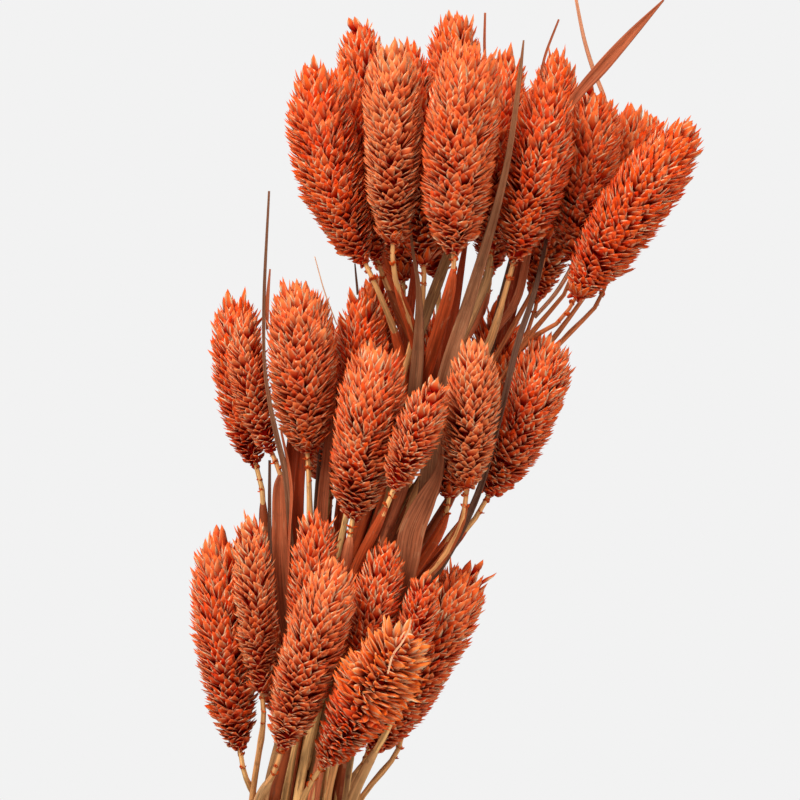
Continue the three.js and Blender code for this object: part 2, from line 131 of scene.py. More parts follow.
# How the florets change along a head: places from its foot, 0, to its tip, 1, and values there.
ALONG_A_HEAD = {
    "crowding": ((0, 0.1, 0.5, 0.8, 1), (1.3, 0.92, 0.92, 1, 1.5)),
    "tilt": ((0, 0.05, 0.15, 0.4, 0.7, 0.9, 1), (76, 74, 68, 57, 43, 27, 6)),
    "roll": ((0.1, 0.5, 0.9), (0.35, 0.55, 0.8)),
    "ahead": ((0, 0.7, 1), (0.6, 0.7, 1.6)),
    "crown": ((0.8, 0.95), (0, 1)),
    "parting": ((0.35, 0.6), (0, 1)),
    "length": ((0, 0.1, 0.8, 1), (0.6, 0.9, 1.05, 1.3)),
    "width": ((0, 0.1, 0.3, 0.6, 0.85, 1), (1.0, 1.35, 1.3, 1.1, 1.15, 1.15)),
    "depth": ((0.1, 0.5), (0.8, 1.0)),
    "fading": ((0.6, 1), (0, 0.15)),
    # lightness: darker at the foot and lighter at the tip, as painted shade and painted light.
    "lightness": ((0, 0.3, 0.75, 1), (0.74, 0.86, 1.0, 1.12)),
    "edges": ((0.5, 1), (1, 1.3)),
}

# How unevenly the florets stand: spreads of their turn round the head and their sideways swing,
# of their tilt in degrees and of their length, and how far lumps in the head tilt and lift them.
TURN_SPREAD = 0.1
SWING_SPREAD = 0.26
TILT_SPREAD = 9
LENGTH_SPREAD = 0.12
LUMP_TILT = 14
LUMP_HEIGHT = 0.09

# How far the florets of a parted head tilt and stand out, and how far those of a crown do.
PARTED_TILT = 22
PARTED_AHEAD = (0.5, 3.2)
CROWN_AHEAD = (-0.8, 1.7)

# A modelled floret's half width at the heights of its rings.
FLORET_HEIGHTS = (0.3, 0.58, 0.82)
FLORET_HALVES = (0.86, 1, 0.62)

# The stems' way up, in millimetres. A level is its height and the middle of the leaning bunch
# there, across and back, and comes with how far the stems have spread. The last points of a
# stem lie on the line of its head, at steps from the head's foot.
STEM_FOOT = 6.9
NECK_BOTTOM = 104
MOUTH = 152
STEM_END = (-4.3, -0.3, 2.7)
CORE_LEVELS = [((188, 7.5, 0), 1.15), ((212, 16.5, 0), 1.35), ((239, 26, -0.5), 1.85)]
CORE_RADIUS = 4.9
CORE_FOOT_RADIUS = 3.4
TOP_MIDDLE = (36, 2)

# The rings of the other tiers' stems: radius, radius at the feet, the point that the heads stand
# round, the first stem's angle, and levels.
RINGS = {
    "middle": (7.6, 14, (14, 2), -0.94 * math.pi, [((188, 7.5, 0), 1.05)]),
    "lower": (10.6, 21, (5, -2), -1.2 * math.pi, []),
}

# Lengths of bare stalk below a head, in millimetres, and how common each is in a tier. Heads
# farther to the right than the free side stand on long bare stalks.
BARE_LENGTHS = (5, 9, 15, 28)
BARE_SHARES = {
    "top": (0.4, 0.25, 0.2, 0.15), "middle": (0.35, 0.25, 0.2, 0.2), "lower": (0.2, 0.2, 0.3, 0.3),
}
FREE_SIDE = 46
FREE_LENGTH = 42

# How common each colour of sheath is at the lower and the upper of two heights. A stem has only
# so many sheaths, and the lowest starts above a share of the stem's length.
SHEATH_LEVELS = (165, 195)
SHEATH_LENGTHS = (32, 48)
LOWEST_SHEATH = 0.3
SHEATH_DYES = {
    "straw": (0.4, 0.1), "tan": (0.25, 0.12), "rust": (0.1, 0.33), "pink": (0.15, 0.12),
    "brown": (0.1, 0.33),
}
MOST_SHEATHS = 4

# Widths of a straw at distances below its head in millimetres, and of a sheath along its length.
STRAW_TAPER = ((0, 5, 14, 50), (0.7, 0.78, 0.92, 1.15))
SHEATH_TAPER = ((0, 0.5, 0.8, 1), (0.9, 1, 0.9, 0.75))
SHEATH_RINGS = 17
JOINT_SPACING = 14
JOINT_SWELL = 1.18
CURVE_STEPS = 24

DARK_FLECKS = (0.10, 0.035, 0.018)
PALE_FLECKS = (0.58, 0.34, 0.17)
IRON_SPECKS = (0.16, 0.10, 0.06)

# Lights: name, place, size and power. The sky's brightness goes between two heights of view from
# one strength to another, and the floor fades between two distances.
LIGHTS = [
    ("key", (-0.5, -0.8, 0.95), 0.7, 14.0),
    ("fill", (0.9, -0.7, 0.45), 0.9, 4.0),
    ("rim", (0.3, 0.9, 0.9), 0.8, 3.0),
]
SKY_RAMP = (-0.6, 0.8, 0.35, 1.15)
FLOOR_RADIUS = 1.2
FLOOR_SHADE = 0.62
FLOOR_FADE = (0.35, 1.15)

# Leaves, in millimetres: points along the blade with its width at each.
LEAVES = {
    "leaf_long": [
        (8.2, -10.6, 170, 1.6), (9, -10.8, 178, 2.4), (11.9, -11.5, 190, 2.6),
        (19.6, -12.5, 204, 3.0), (24.4, -15, 216, 3.4), (25.4, -16.5, 224, 3.4),
        (28.6, -17.5, 241, 3.2), (33.2, -19.5, 256, 2.4), (37.4, -23.5, 270, 1.8),
        (40.6, -26.7, 283, 1.2), (42.8, -28.5, 298, 0.9), (43.8, -29.5, 307, 0.25),
    ],
    "leaf_folded": [
        (15.4, -11.4, 189, 1.6), (18.7, -13.2, 196, 3.0), (20.6, -15.8, 203, 4.6),
        (21.8, -18.2, 210, 5.0), (24.4, -18.9, 216, 4.0), (27.2, -18.4, 222, 1.8),
        (27.9, -18.7, 229, 0.6),
    ],
    "leaf_left": [
        (-1.4, -10.9, 200, 0.6), (-2.4, -11.3, 210, 0.9), (-3.5, -12.8, 222, 1.1),
        (-4.9, -15.2, 228, 1.0), (-6.4, -16.6, 235, 0.8), (-7.5, -15.6, 243, 0.6),
        (-7.6, -15.6, 256, 0.6), (-6.6, -16, 277.5, 0.35),
    ],
    "leaf_sheath": [
        (-1.4, -8.7, 184, 2.4), (-3.4, -9.3, 192, 2.8), (-4.3, -9.6, 202, 3.0),
        (-4.6, -9.8, 212, 2.9), (-4.6, -10.2, 219, 2.2), (-4.4, -10.6, 221, 1.0),
    ],
    "leaf_point": [
        (20.3, -8, 226, 1.6), (22.3, -10.2, 238, 2.6), (23.2, -12.2, 250, 1.9),
        (23.0, -13.2, 259, 0.9), (21.9, -15.3, 266, 0.5), (21.3, -15.6, 272, 0.3),
    ],
    "leaf_dark": [
        (21.5, -7.4, 194, 1.0), (25.2, -9.4, 199, 1.2), (28.8, -11.5, 205, 1.4),
        (33, -12.7, 213, 1.4), (35.8, -14, 220, 1.2), (40, -16, 236, 1.2),
        (42.8, -15.9, 247.5, 1.2), (46, -14, 257, 1.0), (48.6, -10, 268, 0.6),
    ],
    "leaf_right": [
        (36.2, -4.9, 247, 0.8), (39, -6.6, 250.5, 1.2), (42.6, -8.6, 256, 1.6),
        (45, -8.4, 266, 1.4), (47.2, -6.7, 276, 1.0), (48.6, -8, 284, 0.9),
        (50.8, -11, 290, 1.1), (54.2, -12.8, 296, 1.8), (59.4, -13.2, 302, 2.5),
        (65.2, -13.6, 308.5, 1.9), (71.8, -14.2, 315.5, 0.3),
    ],
    "leaf_curl": [
        (46.3, 0.2, 252.5, 0.7), (51, -0.6, 258, 0.8), (55.3, -1.6, 266, 0.8),
        (57.8, -2.1, 275, 0.8), (60.4, -2.7, 285, 0.8), (60.5, -3, 295, 0.8),
        (58, -3, 302, 0.8), (56.2, -3, 308, 0.7), (54.2, -2.6, 318, 0.5),
    ],
}

# Fine stalks and torn strips among the heads, in millimetres, each with its colour.
STRAYS = [
    ("orange", (-4.2, -14.5, 229.8, 0.4), (-2.8, -13, 223, 0.6), (-2.2, -12.4, 217.8, 0.6),
     (-2.6, -12, 209, 0.5), (-3, -11.8, 196.8, 0.6), (-2.5, -11.2, 186, 0.4)),
    ("rust", (-0.4, -5, 184, 2.0), (-0.9, -5.2, 200, 2.2), (-0.9, -5.2, 215, 2.2),
     (-0.2, -4.4, 226, 1.8), (0.6, -3, 233, 1.0)),
    ("dark", (-6.2, -6, 199, 0.6), (-6.6, -6, 212, 0.7), (-6.6, -6, 224, 0.5)),
    ("red", (4.4, -6, 196, 1.8), (3.8, -6.5, 212, 2.2), (4.8, -6, 224, 2.0),
     (6, -5, 236, 1.0)),
    ("rust", (18.2, 2, 226, 2.0), (19.4, 1.6, 240, 2.2), (21.4, 1.2, 254, 1.8),
     (23, 1, 268, 0.8)),
    ("rust", (26.6, 0, 226, 1.8), (28.2, -0.4, 242, 2.2), (30.6, -1, 256, 1.8),
     (32.6, -1, 268, 0.8)),
    ("dark", (32, 2, 224, 1.4), (36, 2, 240, 1.8), (39.6, 2, 256, 1.2),
     (42, 2, 266, 0.6)),
    ("rust", (-1.8, 2, 198, 2.4), (-2.2, 2, 213, 3.0), (-2, 2, 225, 3.0), (-1.4, 2, 234, 1.6)),
    ("dark", (2.8, 2, 200, 2.0), (3.3, 2, 212, 2.6), (3.8, 2, 222, 2.2), (4.4, 2, 231, 1.0)),
    ("rust", (6.6, 2, 198, 2.4), (7.2, 2, 208, 2.8), (8, 2, 218, 2.2), (9, 2, 229, 1.0)),
    ("rust", (39.4, 3, 246, 2.2), (41.6, 3, 255, 2.8), (43.4, 3, 264, 2.6), (45, 3, 273, 1.2)),
    ("red", (36.8, -2, 299, 0.6), (36.3, -2, 306, 0.55), (36.4, -2, 313.4, 0.4)),
    ("red", (47.5, 2, 301, 0.5), (48.6, 2, 305.4, 0.5), (51.2, 2, 312.2, 0.35)),
    ("pale", (6.8, -9, 251, 0.2), (4.4, -8.6, 257.5, 0.2), (2.4, -8, 264.6, 0.14)),
    ("dark", (11, -5, 257, 0.5), (10.7, -5, 260, 0.4), (10.4, -5, 263.2, 0.25)),
    ("red", (-7, -15, 250, 0.5), (-6.9, -16.5, 255.8, 0.7), (-6.4, -16.5, 262, 0.3)),
    ("pale", (17, -40.6, 182.2, 0.3), (18, -41.4, 185.9, 0.36), (19.8, -41.8, 188.4, 0.32),
     (21.1, -39.4, 190.8, 0.3), (21.6, -36, 192.8, 0.24)),
]


def shade(name, description, default):
    """A colour that the user can change."""
    return FloatVectorProperty(
        name=name, description=description, default=default, size=3, subtype="COLOR",
        min=0, max=1,
    )


def length(name, description, default):
    """A length that the user can change, given in metres."""
    return FloatProperty(
        name=name, description=description, default=default, min=0, subtype="DISTANCE",
        unit="LENGTH", precision=4,
    )


def share(name, description, default):
    """A share that the user can change."""
    return FloatProperty(
        name=name, description=description, default=default, min=0, max=1, subtype="FACTOR")


class SeedHeadSettings(bpy.types.PropertyGroup):
    """Sizes and dyes of the seed heads."""

    floret_length: length("Floret length", "Length of one floret, base to tip", 6.6 * MM)
    floret_width: length("Floret width", "Width of one floret from keel to keel", 1.8 * MM)
    floret_depth: length("Floret depth", "Thickness of one floret", 1.0 * MM)
    floret_area: FloatProperty(
        name="Area of a floret",
        description="Surface of the head that each floret takes, in square millimetres",
        default=1.8, min=0.8,
    )
    unevenness: share("Unevenness", "How unevenly the florets stand", 0.5)
    orange: shade("Orange", "Main colour of the dyed florets", (0.88, 0.100, 0.008))
    red: shade("Red", "Colour of the florets that took most dye", (0.80, 0.037, 0.003))
    faded: shade("Faded", "Colour of the florets that took least dye", (0.86, 0.220, 0.068))
    keel: shade("Keel", "Pale colour of the florets' keels", (0.94, 0.61, 0.34))
    stripe: shade("Stripe", "Colour beside the keels", (0.46, 0.085, 0.020))
    # Painted shade: dark red laid over the florets' feet, deep between them, and over the head's
    # core.
    shadow: shade("Depth", "Colour deep between the florets", (0.40, 0.008, 0.001))


class StemSettings(bpy.types.PropertyGroup):
    """Sizes and colours of the stems."""

    radius: length("Radius", "Radius of a bare straw", 0.66 * MM)
    sheath_radius: length("Sheath radius", "Radius of a stem in its leaf sheath", 1.1 * MM)
    rings: IntProperty(name="Rings", description="Rings along a straw", default=56, min=8)
    straw: shade("Straw", "Colour of bare straw", (0.74, 0.41, 0.15))
    tan: shade("Tan", "Colour of duller sheaths", (0.50, 0.25, 0.10))
    brown: shade("Brown", "Colour of brown sheaths", (0.23, 0.044, 0.012))
    rust: shade("Rust", "Colour of dyed sheaths", (0.42, 0.060, 0.014))
    pink: shade("Pink", "Colour of half dyed sheaths", (0.58, 0.155, 0.062))


class LeafSettings(bpy.types.PropertyGroup):
    """Sizes and colours of the dry leaves."""

    thickness: length("Thickness", "Thickness of a leaf", 0.25 * MM)
    fold: share("Fold", "How far a leaf is folded along its middle", 0.5)
    brown: shade("Brown", "Colour of a brown leaf", (0.28, 0.105, 0.046))
    dark: shade("Dark", "Colour of a dark leaf", (0.13, 0.055, 0.032))
    red: shade("Red", "Colour of a reddish leaf", (0.40, 0.095, 0.036))
    rust: shade("Rust", "Colour of a deeply dyed leaf", (0.32, 0.038, 0.009))
    orange: shade("Orange", "Colour of a dyed leaf", (0.54, 0.12, 0.045))
    pale: shade("Pale", "Colour of a pale stalk", (0.82, 0.44, 0.24))


class VaseSettings(bpy.types.PropertyGroup):
    """Sizes and colours of the vase."""

    height: length("Height", "Height of the vase", 150 * MM)
    wall: length("Wall", "Thickness of the wall", 4 * MM)
    floor: length("Floor", "Thickness of the floor", 6 * MM)
    foot: length("Foot", "Radius of the foot", 28 * MM)
    belly: length("Belly", "Radius of the belly", 41 * MM)
    belly_height: length("Belly height", "Height of the belly", 52 * MM)
    neck: length("Neck", "Radius of the neck", 18 * MM)
    neck_height: length("Neck height", "Height of the neck", 122 * MM)
    lip: length("Lip", "Radius of the lip", 20 * MM)
    glaze: shade("Glaze", "Colour of the matt glaze", (0.50, 0.45, 0.37))
    clay: shade("Clay", "Colour of the bare clay", (0.48, 0.36, 0.25))


class StageSettings(bpy.types.PropertyGroup):
    """Camera, lights and floor."""

    distance: length("Distance", "Camera distance", 2.2)
    view_width: length("View width", "Width that the camera sees at the bunch", 0.16)
    aim_x: length("Aim across", "Where the camera looks, across", 19.4 * MM)
    aim_z: length("Aim up", "Where the camera looks, up", 236 * MM)
    backdrop: shade("Backdrop", "Colour of backdrop and floor", (0.888, 0.888, 0.888))


# Mesh work shared by the pieces.


def begin(primitive, **sizes):
    """Adds a primitive at its place and opens it for shaping, all of it selected."""
    bpy.ops.object.select_all(action="DESELECT")
    primitive(**sizes)
    bpy.ops.object.transform_apply(location=True, rotation=True, scale=True)
    bpy.ops.object.mode_set(mode="EDIT")
    bpy.ops.mesh.select_all(action="SELECT")
    return bpy.context.object


def pick(obj, test):
    """Selects the vertices of the mesh in edit mode whose place passes the test."""
    mesh = bmesh.from_edit_mesh(obj.data)
    for vertex in mesh.verts:
        vertex.select = test(vertex.co)
    mesh.select_flush_mode()
    bmesh.update_edit_mesh(obj.data)


def raise_ring(rise, wide, deep=None):
    """Extrudes the selected cap upwards and sizes it about the axis."""
    bpy.ops.mesh.extrude_region_move(TRANSFORM_OT_translate={"value": (0, 0, rise)})
    bpy.ops.transform.resize(value=(wide, deep or wide, 1), center_override=(0, 0, 0))


def shaped(obj):
    """Turns the faces of a closed shape outwards and ends its shaping."""
    bpy.ops.mesh.select_all(action="SELECT")
    bpy.ops.mesh.normals_make_consistent(inside=False)
    bpy.ops.object.mode_set(mode="OBJECT")
    return obj


def unit(vectors):
    """The vectors at length one."""
    return vectors / np.maximum(np.linalg.norm(vectors, axis=-1, keepdims=True), 1e-12)


def read_between(at, places, rows):
    """Rows that are given at some places, read at others."""
    return np.column_stack([np.interp(at, places, column) for column in rows.T])


def smooth_through(stations, places):
    """Points on the smooth curve through the stations at places from 0 to 1 along its length,
    with its directions there and its length. Columns past the third are carried along."""
    given = np.asarray(stations, float)
    ends = (2 * given[0] - given[1], 2 * given[-1] - given[-2])
    padded = np.vstack([ends[0], given, ends[1]])
    steps = np.linspace(0, len(given) - 1, CURVE_STEPS * len(given))
    index = np.minimum(steps.astype(int), len(given) - 2)
    part = (steps - index)[:, None]
    before, start, end, after = (padded[index + shift] for shift in range(4))

    def gap(a, b):
        return np.sqrt(np.linalg.norm(b[:, :3] - a[:, :3], axis=1))[:, None]

    near, middle, far = gap(before, start), gap(start, end), gap(end, after)
    leave = (start - before) / near - (end - before) / (near + middle) + (end - start) / middle
    arrive = (end - start) / middle - (after - start) / (middle + far) + (after - end) / far
    leave, arrive = leave * middle, arrive * middle
    curve = (
        start + leave * part
        + (-3 * start + 3 * end - 2 * leave - arrive) * part**2
        + (2 * start - 2 * end + leave + arrive) * part**3
    )
    walked = np.r_[0, np.cumsum(np.linalg.norm(np.diff(curve[:, :3], axis=0), axis=1))]
    at = np.asarray(places) * walked[-1]
    ways = read_between(at, walked, np.gradient(curve[:, :3], axis=0))
    return read_between(at, walked, curve), unit(ways), walked[-1]


def turned(angle, start, end):
    """Directions turned by each angle from the start towards the end."""
    return np.cos(angle)[:, None] * start + np.sin(angle)[:, None] * end


def fanned(way, angle):
    """Directions square to the way, at each angle round it."""
    side = unit(np.cross((0, 1, 0), way))
    return turned(angle, side, np.cross(way, side))


def across_way(radial, ways):
    """The part of each radial direction that stands square to the way."""
    return unit(radial - (radial * ways).sum(1)[:, None] * ways + 1e-6)


class Form:
    """A modelled form to copy: its points and its faces."""

    def __init__(self, obj):
        mesh = obj.data
        points = np.zeros(len(mesh.vertices) * 3)
        mesh.vertices.foreach_get("co", points)
        self.points = points.reshape(-1, 3)
        self.heights = self.points[:, 2]
        self.corners = np.zeros(len(mesh.loops), int)
        mesh.loops.foreach_get("vertex_index", self.corners)
        self.sizes = np.array([len(face.vertices) for face in mesh.polygons])
        bpy.data.objects.remove(obj)
        bpy.data.meshes.remove(mesh)

    def turn_round(self):
        """How far round the form each point is, from 0 in front to 1 behind."""
        return np.abs(np.arctan2(self.points[:, 1], self.points[:, 0])) / math.pi

    def laid_along(self, stations, widths=None, flat=1.0, turn=0.0):
        """The points with the form's length laid along a curve and its section sized, and the
        curve's length. Stations with a fourth number carry the widths themselves."""
        centres, ways, reach = smooth_through(stations, self.heights)
        across = unit(np.cross((0, 1, 0), ways))
        size = (centres[:, 3] if widths is None else widths)[:, None]
        x = self.points[:, :1] * math.cos(turn) - self.points[:, 1:2] * math.sin(turn)
        y = self.points[:, :1] * math.sin(turn) + self.points[:, 1:2] * math.cos(turn)
        section = x * across + y * flat * np.cross(across, ways)
        return centres[:, :3] + size * section, reach


class Gathering:
    """Copies of forms brought together into one piece."""

    def __init__(self):
        self.points, self.corners, self.sizes = [], [], []
        self.grain, self.tint = [], []
        self.count = 0

    def add(self, form, points, grain, tint, pale=1.0):
        """Adds a copy of the form with its points placed. Grain is across, along and a seed, and
        pale is how pale its edges are."""
        self.points.append(points)
        self.corners.append(form.corners + self.count)
        self.sizes.append(form.sizes)
        self.grain.append(np.column_stack(np.broadcast_arrays(*grain)))
        self.tint.append(np.broadcast_to(np.r_[tint, pale], (len(points), 4)))
        self.count += len(points)

    def piece(self, name, finish, slot, *nodes):
        """Makes the piece from all that was added, in metres."""
        points, corners, sizes, grain, tint = (
            np.concatenate(rows)
            for rows in (self.points, self.corners, self.sizes, self.grain, self.tint))
        starts = np.r_[0, np.cumsum(sizes)[:-1]]
        mesh = bpy.data.meshes.new(name)
        mesh.vertices.add(len(points))
        mesh.vertices.foreach_set("co", (points * MM).astype(np.float32).ravel())
        mesh.loops.add(len(corners))
        mesh.loops.foreach_set("vertex_index", corners.astype(np.int32))
        mesh.polygons.add(len(sizes))
        mesh.polygons.foreach_set("loop_start", starts.astype(np.int32))
        for label, kind, field, rows in (
            ("grain", "FLOAT_VECTOR", "vector", grain), ("tint", "FLOAT_COLOR", "color", tint),
        ):
            data = mesh.attributes.new(label, kind, "POINT").data
            data.foreach_set(field, rows.astype(np.float32).ravel())
        mesh.update(calc_edges=True)
        obj = bpy.data.objects.new(name, mesh)
        bpy.context.scene.collection.objects.link(obj)
        return settle(obj, finish, slot, *nodes)


def settle(obj, finish, slot, *nodes):
    """Gives a piece its material and its place in the frame."""
    obj.data.materials.append(finish)
    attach(obj, "root")
    if nodes:
        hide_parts(*nodes)
    return obj


# Materials.


class Nodes:
    """Short ways to add to a tree of nodes."""

    def __init__(self, tree):
        self.tree = tree

    def put(self, value, socket):
        """Joins an output to a socket, or sets the socket to a value."""
        if isinstance(value, bpy.types.NodeSocket):
            self.tree.links.new(value, socket)
        elif socket.type == "RGBA":
            socket.default_value = (*value, 1)
        else:
            socket.default_value = value

    def add(self, kind, sockets=None, **choices):
        """Adds a node with its choices, and puts values into its sockets."""
        node = self.tree.nodes.new(f"ShaderNode{kind}")
        for choice, value in choices.items():
            setattr(node, choice, value)
        for socket, value in (sockets or {}).items():
            self.put(value, node.inputs[socket])
        return node

    def attribute(self, name, output):
        """A named attribute of the mesh."""
        return self.add("Attribute", attribute_name=name).outputs[output]

    def place(self):
        """The place on the object, in metres."""
        return self.add("TexCoord").outputs["Object"]

    def parts(self, vector):
        """The three numbers of a vector."""
        return self.add("SeparateXYZ", {0: vector}).outputs

    def vector(self, *numbers):
        """A vector from three numbers."""
        return self.add("CombineXYZ", dict(enumerate(numbers))).outputs[0]

    def sum(self, kind, a, b=0.0):
        """A sum of two numbers, of any kind that the Math node knows."""
        return self.add("Math", {0: a, 1: b}, operation=kind).outputs[0]

    def times(self, product, *others):
        """The product of several numbers."""
        for other in others:
            product = self.sum("MULTIPLY", product, other)
        return product

    def band(self, value, start, end, low=0.0, high=1.0):
        """Goes smoothly from low to high as the value goes from start to end."""
        sockets = dict(enumerate((value, start, end, low, high)))
        return self.add("MapRange", sockets, interpolation_type="SMOOTHSTEP").outputs[0]

    def noise(self, vector, scale, detail, roughness=0.5):
        """Soft noise round a half."""
        sockets = {"Vector": vector, "Scale": scale, "Detail": detail, "Roughness": roughness}
        return self.add("TexNoise", sockets).outputs["Fac"]

    def fibres(self, grain, scales, detail, roughness):
        """Noise drawn out along the grain, whose three numbers are scaled."""
        scaled = [self.times(number, scale) for number, scale in zip(grain, scales)]
        return self.noise(self.vector(*scaled), 1.0, detail, roughness)

    def mix(self, amount, a, b, kind="MIX"):
        """Mixes two colours."""
        sockets = {0: amount, 6: a, 7: b}
        return self.add("Mix", sockets, data_type="RGBA", blend_type=kind).outputs[2]

    def lit(self, colour, lightness):
        """A colour made lighter or darker."""
        return self.mix(1.0, colour, self.vector(lightness, lightness, lightness), "MULTIPLY")

    def layers(self, colour, *layers):
        """A colour with others laid over it, each by its amount."""
        for amount, over in layers:
            colour = self.mix(amount, colour, over)
        return colour


class Finish(Nodes):
    """A material with one shader."""

    def __init__(self, name, roughness, specular=0.3):
        self.material = bpy.data.materials.new(name)
        self.material.use_nodes = True
        super().__init__(self.material.node_tree)
        self.surface = self.tree.nodes["Principled BSDF"].inputs
        self.surface["Roughness"].default_value = roughness
        self.surface["Specular IOR Level"].default_value = specular

    def colour(self, colour):
        """Sets the colour of the surface."""
        self.put(colour, self.surface["Base Color"])

    def bump(self, height, distance, strength):
        """Relief of the given height in metres."""
        sockets = {"Strength": strength, "Distance": distance, "Height": height}
        self.put(self.add("Bump", sockets).outputs[0], self.surface["Normal"])


def chaff_finish(settings):
    """Dyed chaff: pale keels, a duller stripe beside them, fine fibres and painted shade at the
    florets' feet.
    """
    finish = Finish("dyed_chaff", 0.75, 0.05)
    band = finish.band
    grain = finish.parts(finish.attribute("grain", "Vector"))
    across, along, _ = grain
    fibres = finish.fibres(grain, (7.0, 1.3, 83.0), 2.0, 0.6)
    patches = finish.noise(finish.place(), 260.0, 1.0)
    stripe = finish.times(
        band(across, 0.1, 0.4), band(along, 1.0, 0.6), band(fibres, 0.38, 0.62, high=0.5))
    keel = finish.times(
        band(across, 0.56, 0.18), band(along, 0.4, 0.7), band(patches, 0.36, 0.62, low=0.35),
        finish.attribute("tint", "Alpha"))
    # Painted shade: the foot of each floret, deep among the others, turns to the dark red of shade.
    depth = band(along, 0.85, 0.3)
    colour = finish.layers(
        finish.attribute("tint", "Color"),
        (stripe, settings.stripe), (keel, settings.keel), (depth, settings.shadow))
    finish.colour(finish.lit(colour, band(fibres, 0.25, 0.75, 0.78, 1.15)))
    finish.bump(fibres, 0.12 * MM, 0.5)
    return finish.material


def straw_finish(name, roughness, fibre_scale):
    """Dry straw or leaf: long fibres, darker flecks and slow changes of colour."""
    finish = Finish(name, roughness, 0.08)
    band = finish.band
    grain = finish.parts(finish.attribute("grain", "Vector"))
    fibres = finish.fibres(grain, (fibre_scale, 0.09, 71.0), 3.0, 0.6)
    flecks = finish.fibres(grain, (2.5, 0.35, 71.0), 3.0, 0.65)
    body = finish.lit(finish.attribute("tint", "Color"), band(fibres, 0.3, 0.7, 0.6, 1.3))
    finish.colour(finish.layers(
        body, (band(flecks, 0.55, 0.75, high=0.6), DARK_FLECKS),
        (band(flecks, 0.42, 0.28, high=0.22), PALE_FLECKS)))
    finish.bump(fibres, 0.15 * MM, 0.7)
    return finish.material


def stoneware_finish(settings):
    """Matt glaze with iron specks, thin on the lip and bare clay at the foot."""
    finish = Finish("matt_stoneware", 0.58, 0.35)
    band = finish.band
    place = finish.place()
    height = finish.parts(place)[2]
    clouds = finish.noise(place, 22.0, 3.0)
    grit = finish.noise(place, 900.0, 2.0)
    specks = band(finish.noise(place, 420.0, 1.0), 0.71, 0.76, high=0.7)
    edge = finish.sum("ADD", height, finish.times(clouds, 2.5 * MM))
    bare = band(edge, 5.6 * MM, 5.0 * MM)
    worn = band(height, settings.height - 1.2 * MM, settings.height - 0.2 * MM, high=0.5)
    finish.colour(finish.layers(
        settings.glaze, (band(clouds, 0.35, 0.65), [0.9 * part for part in settings.glaze]),
        (specks, IRON_SPECKS), (worn, settings.clay), (bare, settings.clay)))
    finish.put(band(bare, 0.0, 1.0, 0.55, 0.9), finish.surface["Roughness"])
    finish.bump(grit, 0.1 * MM, 0.6)
    return finish.material


# The pieces.


def model_floret():
    """One folded glume: its foot at the origin, its tip at z = 1, its keels at x = -1 and 1 and
    a groove between them on the side that faces +Y."""
    obj = begin(bpy.ops.mesh.primitive_circle_add, vertices=4, radius=1, fill_type="NGON")
    pick(obj, lambda co: co.y > 0.5)
    bpy.ops.transform.translate(value=(0, -1.12, 0))
    bpy.ops.mesh.select_all(action="SELECT")
    raise_ring(0.3, 0.86)
    raise_ring(0.28, 1.16)
    raise_ring(0.24, 0.62, 0.6)
    bpy.ops.mesh.extrude_region_move(TRANSFORM_OT_translate={"value": (0, 0, 0.18)})
    bpy.ops.mesh.merge(type="CENTER")
    pick(obj, lambda co: co.z < 0.1)
    bpy.ops.mesh.merge(type="CENTER")
    pick(obj, lambda co: 0.1 < co.z < 0.9)
    bpy.ops.transform.translate(value=(0, 0.3, 0))
    return Form(shaped(obj))


def model_core():
    """The solid middle of a head, a spindle from z = 0 to 1."""
    obj = begin(bpy.ops.mesh.primitive_uv_sphere_add, segments=10, ring_count=10, radius=0.5)
    bpy.ops.transform.resize(value=(2, 2, 1))
    bpy.ops.transform.translate(value=(0, 0, 0.5))
    return Form(shaped(obj))


def model_straw(rings):
    """A straw of radius 1 from z = 0 to 1, with faint joints."""
    obj = begin(bpy.ops.mesh.primitive_circle_add, vertices=10, radius=1, fill_type="NGON")
    for ring in range(rings):
        raise_ring(1 / rings, {9: JOINT_SWELL, 10: 1 / JOINT_SWELL}.get(ring % JOINT_SPACING, 1))
    return Form(shaped(obj))


def model_sheath():
    """A leaf sheath rolled round a stem from z = 0 to 1, with a ridge down one side where its
    edge laps over, and a slanting mouth."""
    obj = begin(bpy.ops.mesh.primitive_circle_add, vertices=10, radius=1, fill_type="NGON")
    for test, size in (
        (lambda co: co.x > 0.9, (1.2, 1, 1)),
        (lambda co: 0.5 < co.x < 0.9 and co.y > 0, (0.86, 0.86, 1)),
        (lambda co: True, (0.8, 0.8, 1)),
    ):
        pick(obj, test)
        bpy.ops.transform.resize(value=size, center_override=(0, 0, 0))
    for ring in range(SHEATH_RINGS):
        raise_ring(1 / SHEATH_RINGS, {0: 1.25, 14: 0.97, 15: 0.88, 16: 0.62}.get(ring, 1))
    pick(obj, lambda co: co.z > 0.99 and co.x > 0.2)
    bpy.ops.transform.translate(value=(0, 0, 0.02))
    return Form(shaped(obj))


def model_blade(fold):
    """A dry leaf blade from z = 0 to 1, half a width to each side, folded along its middle and
    with its edges curled a little."""
    obj = begin(
        bpy.ops.mesh.primitive_grid_add, x_subdivisions=6, y_subdivisions=44, size=1,
        rotation=(math.pi / 2, 0, 0), location=(0, 0, 0.5))
    for line, depth in ((0, fold / 2), (1 / 6, fold / 3.2), (1 / 3, fold / 7)):
        pick(obj, lambda co: abs(abs(co.x) - line) < 0.02)
        bpy.ops.transform.translate(value=(0, -depth, 0))
    bpy.ops.object.mode_set(mode="OBJECT")
    return Form(obj)


